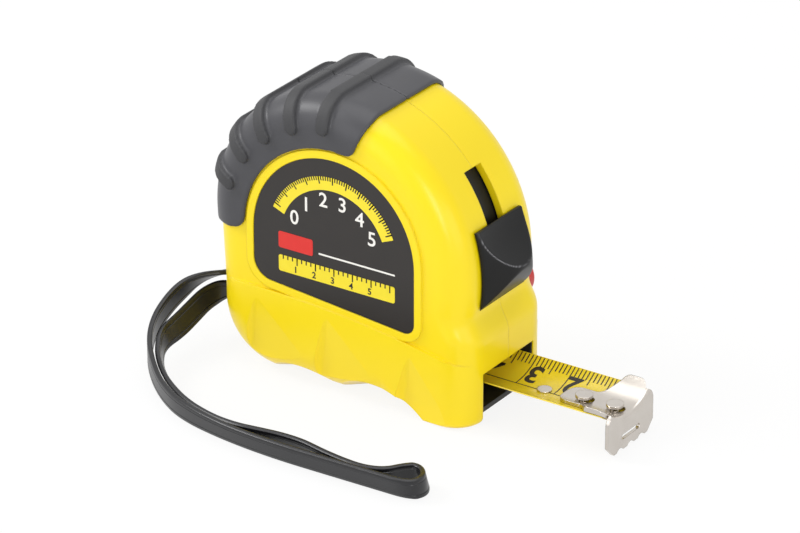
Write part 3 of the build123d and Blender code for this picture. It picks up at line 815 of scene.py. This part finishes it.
def grainMaterial(name, finish, colour, shade, grain, depth, edge=0.0):
    # a moulded or coated surface with a fine grain and a slight drift of tone
    material, shader = startMaterial(name, finish)
    place = addNode(material, "ShaderNodeTexCoord")
    tone = driftTone(material, place, grain * grainMake["driftTimes"], colour, shade, detail=3.0)
    fine = addNode(material, "ShaderNodeTexNoise", {"Scale": perMm(grain), "Detail": 4.0},
                   {"Vector": place.outputs["Object"]})
    bump = addNode(material, "ShaderNodeBump",
                   {"Strength": depth, "Distance": grainMake["height"] * mm},
                   {"Height": fine.outputs["Fac"]})
    if edge:
        soft = addNode(material, "ShaderNodeBevel", {"samples": bevelSamples, "Radius": edge * mm})
        material.node_tree.links.new(soft.outputs["Normal"], bump.inputs["Normal"])
    linkSurface(material, shader, tone, bump)
    return material


metalMake = {"grain": 0.3, "cloud": 4.0, "layDepth": 0.08, "layHeight": 0.03}


def brushedMetal(name, colour, shade, roughness, stretch, edge):
    # rolled or plated steel: a fine lay along one axis that spreads the highlight
    material, shader = startMaterial(name, {"Metallic": 1.0, "Roughness": roughness})
    place = addNode(material, "ShaderNodeTexCoord")
    lay = addNode(material, "ShaderNodeMapping", {"Scale": stretch},
                  {"Vector": place.outputs["Object"]})
    fine = addNode(material, "ShaderNodeTexNoise",
                   {"Scale": perMm(metalMake["grain"]), "Detail": 3.0},
                   {"Vector": lay.outputs["Vector"]})
    tone = driftTone(material, place, metalMake["cloud"], colour, shade, detail=2.0)
    soft = addNode(material, "ShaderNodeBevel", {"samples": bevelSamples, "Radius": edge * mm})
    bump = addNode(material, "ShaderNodeBump",
                   {"Strength": metalMake["layDepth"], "Distance": metalMake["layHeight"] * mm},
                   {"Height": fine.outputs["Fac"], "Normal": soft.outputs["Normal"]})
    linkSurface(material, shader, tone, bump)
    return material


def addRim(material, attribute, colour):
    # a painted highlight: a thin light line mixed into the colour where an edge would catch the
    # light
    tree = material.node_tree
    shader = tree.nodes["Principled BSDF"]
    paintedGlint = addNode(material, "ShaderNodeAttribute", {"attribute_name": attribute})
    tone = addNode(material, "ShaderNodeMix", {"data_type": "RGBA", 7: linearColour(colour)},
                   {0: paintedGlint.outputs["Fac"], 6: shader.inputs["Base Color"].links[0].from_socket})
    tree.links.new(tone.outputs[2], shader.inputs["Base Color"])


def dress(piece, material):
    piece.data.materials.clear()
    piece.data.materials.append(material)


caseSkin = yellowAbs(absFinish)
rubberSkin = gripRubber(rubberFinish)
# smooth film over dark print, with a soft sheen
labelSkin = grainMaterial("printedVinylLabel", {"Roughness": 0.3, "IOR": 1.49},
                          "#26211E", "#211D1A", grain=0.5, depth=0.03)
# satin moulding, dark all over but for a painted highlight along the near edge of the scoop
lockSkin = grainMaterial("blackSatinAbs",
                         {"Roughness": 0.4, "IOR": 1.53, "Specular IOR Level": 0.22},
                         "#161616", "#121213", grain=0.3, depth=0.06, edge=0.35)
addRim(lockSkin, "paintedGlint", "#808083")
# etched moulding that swallows the light in the mouth
guideSkin = grainMaterial("blackMattPlastic", {"Roughness": 0.55, "IOR": 1.5},
                          "#161514", "#11100F", grain=0.3, depth=0.1)
# plain inner moulding, a lighter black than the lock's
reelSkin = grainMaterial("blackReelPlastic", {"Roughness": 0.5, "IOR": 1.5},
                         "#2E2E30", "#262628", grain=0.3, depth=0.1)
# polished moulding with a clear highlight
redSkin = grainMaterial("redMouldedAbs", {"Roughness": 0.32, "IOR": 1.53},
                        "#C81A18", "#B81513", grain=0.3, depth=0.04)
# dull rubber with an open grain
padSkin = grainMaterial("blackBrakeRubber", {"Roughness": 0.7, "IOR": 1.5},
                        "#202021", "#1A1A1B", grain=0.2, depth=0.2)
# extruded PVC, glossy enough for long highlights along its faces
strapSkin = grainMaterial("blackPvcStrap",
                          {"Roughness": 0.32, "IOR": 1.53, "Specular IOR Level": 0.4},
                          "#1D1D20", "#18181B", grain=0.6, depth=0.05)
# lacquered steel, an even yellow with a clear gloss
bladeSkin = grainMaterial("yellowBladeLacquer", {"Roughness": 0.26, "IOR": 1.5, "Coat Weight": 0.3},
                          "#F2D92C", "#ECCF22", grain=0.4, depth=0.03)

# screen-printed inks, even and a little duller than what they are printed on
inkTones = {
    "black": ("#1D1A18", "#171513"), "white": ("#F1EFEA", "#E8E6E1"),
    "yellow": ("#F4E02A", "#EBD622"), "red": ("#DE2A22", "#D3231D"),
}
inks = {}
for tone, pair in inkTones.items():
    inks[tone] = grainMaterial(tone + "PrintInk", {"Roughness": 0.45, "IOR": 1.5}, *pair,
                               grain=0.4, depth=0.02)

# warm bright plating, tempered grey steel and a sharp cold chrome
hookSkin = brushedMetal("nickelPlatedSteel", "#CFC9C2", "#C2BBB3",
                        roughness=0.24, stretch=(0.25, 1.0, 1.0), edge=0.3)
springSkin = brushedMetal("blueSpringSteel", "#8F9095", "#85868B",
                          roughness=0.38, stretch=(0.25, 1.0, 1.0), edge=0.1)
clipSkin = brushedMetal("chromedSpringSteel", "#D3D3D4", "#C9C9CB",
                        roughness=0.2, stretch=(1.0, 1.0, 0.2), edge=0.3)

nodeCoats = {
    "case_left": caseSkin, "case_right": caseSkin,
    "label": labelSkin, "mouth_guide": guideSkin, "spindle": springSkin,
    "case_screws": springSkin, "strap_pin": springSkin,
    "belt_clip": clipSkin, "belt_clip_screw": hookSkin,
    "reel_drum": reelSkin, "spring_cover": reelSkin, "power_spring": springSkin,
    "tape_coil": bladeSkin, "blade": bladeSkin, "blade_rivet": hookSkin,
    "hook_rivets": hookSkin, "hook": hookSkin,
    "stop_button": redSkin, "stop_pad": padSkin,
}
coats = [(nodes[node], skin) for node, skin in nodeCoats.items()]
coats += [
    (wristStrap, strapSkin), (gripNear, rubberSkin), (gripFar, rubberSkin),
    (stopSpring, springSkin), (lockSlider, lockSkin), (bladeInk, inks["black"]),
    (labelInks["labelYellow"], inks["yellow"]), (labelInks["labelBlack"], inks["black"]),
    (labelInks["labelWhite"], inks["white"]), (labelInks["labelRed"], inks["red"]),
]
for piece, skin in coats:
    dress(piece, skin)
print("materials dressed:", len(coats))


# Plain pale floor and soft studio light
studio = {
    "floorSize": 6.0,
    "floorColour": "#F4F4F4",
    "floorRough": 0.9,
    "floorGlow": 0.88,
    "worldLight": 0.53,
    "lamps": [
        # name, place, aim, size, power
        ("topSoftbox", (-0.1, 0.1, 1.1), (0.0, 0.0, 0.03), (0.9, 0.9), 3.85),
        ("rearSoftbox", (-0.85, -0.36, 0.85), (0.0, 0.0, 0.03), (0.36, 0.5), 6.4),
        ("sideFill", (-0.5, -1.2, 0.6), (0.0, 0.0, 0.03), (0.9, 0.9), 2.65),
        ("stripLight", (0.72, -0.78, 0.42), (0.02, 0.0, 0.03), (0.05, 0.5), 2.3),
        ("frontFill", (1.2, -0.3, 0.35), (0.0, 0.0, 0.03), (0.8, 0.6), 2.2),
    ],
}


def backdropRays(owner):
    # 1 for the rays that show the backdrop itself: straight, mirrored or through glass
    seen = addNode(owner, "ShaderNodeLightPath")
    rays = addNode(owner, "ShaderNodeMath", {"operation": "MAXIMUM"},
                   {0: seen.outputs["Is Camera Ray"], 1: seen.outputs["Is Glossy Ray"]})
    rays = addNode(owner, "ShaderNodeMath", {"operation": "MAXIMUM"},
                   {0: rays.outputs[0], 1: seen.outputs["Is Transmission Ray"]})
    return rays.outputs[0]


def makeFloor(make):
    # matt paper sweep: it shows white and keeps the object's shadow
    bpy.ops.mesh.primitive_plane_add(size=make["floorSize"], location=(0, 0, 0))
    floor = bpy.context.object
    floor.name = "studioFloor"
    finish = {"Base Color": linearColour(make["floorColour"]), "Roughness": make["floorRough"]}
    material, shader = startMaterial("paleFloor", finish)
    white = addNode(material, "ShaderNodeEmission", {"Strength": 1.0})
    part = addNode(material, "ShaderNodeMath", {"operation": "MULTIPLY", 1: make["floorGlow"]},
                   {0: backdropRays(material)})
    mix = addNode(material, "ShaderNodeMixShader", {},
                  {0: part.outputs[0], 1: shader.outputs["BSDF"], 2: white.outputs["Emission"]})
    output = material.node_tree.nodes["Material Output"]
    material.node_tree.links.new(mix.outputs["Shader"], output.inputs["Surface"])
    dress(floor, material)


def makeWorld(make):
    world = bpy.data.worlds.new("studioWorld")
    world.use_nodes = True
    bpy.context.scene.world = world
    light = world.node_tree.nodes["Background"]
    light.inputs["Color"].default_value = (1, 1, 1, 1)
    light.inputs["Strength"].default_value = make["worldLight"]
    shown = addNode(world, "ShaderNodeBackground", {"Color": (1, 1, 1, 1), "Strength": 1.0})
    mix = addNode(world, "ShaderNodeMixShader", {},
                  {0: backdropRays(world), 1: light.outputs[0], 2: shown.outputs[0]})
    output = world.node_tree.nodes["World Output"]
    world.node_tree.links.new(mix.outputs[0], output.inputs["Surface"])


def makeLamps(make):
    for name, place, aim, size, power in make["lamps"]:
        bpy.ops.object.light_add(type="AREA", location=place)
        lamp = bpy.context.object
        lamp.name = name
        lamp.rotation_euler = (Vector(aim) - Vector(place)).to_track_quat("-Z", "Y").to_euler()
        lamp.data.shape = "RECTANGLE"
        lamp.data.size, lamp.data.size_y = size
        lamp.data.energy = power
    print("studio lit:", len(make["lamps"]), "lamps")


makeFloor(studio)
makeWorld(studio)
makeLamps(studio)
bpy.context.scene.view_settings.view_transform = "Standard"
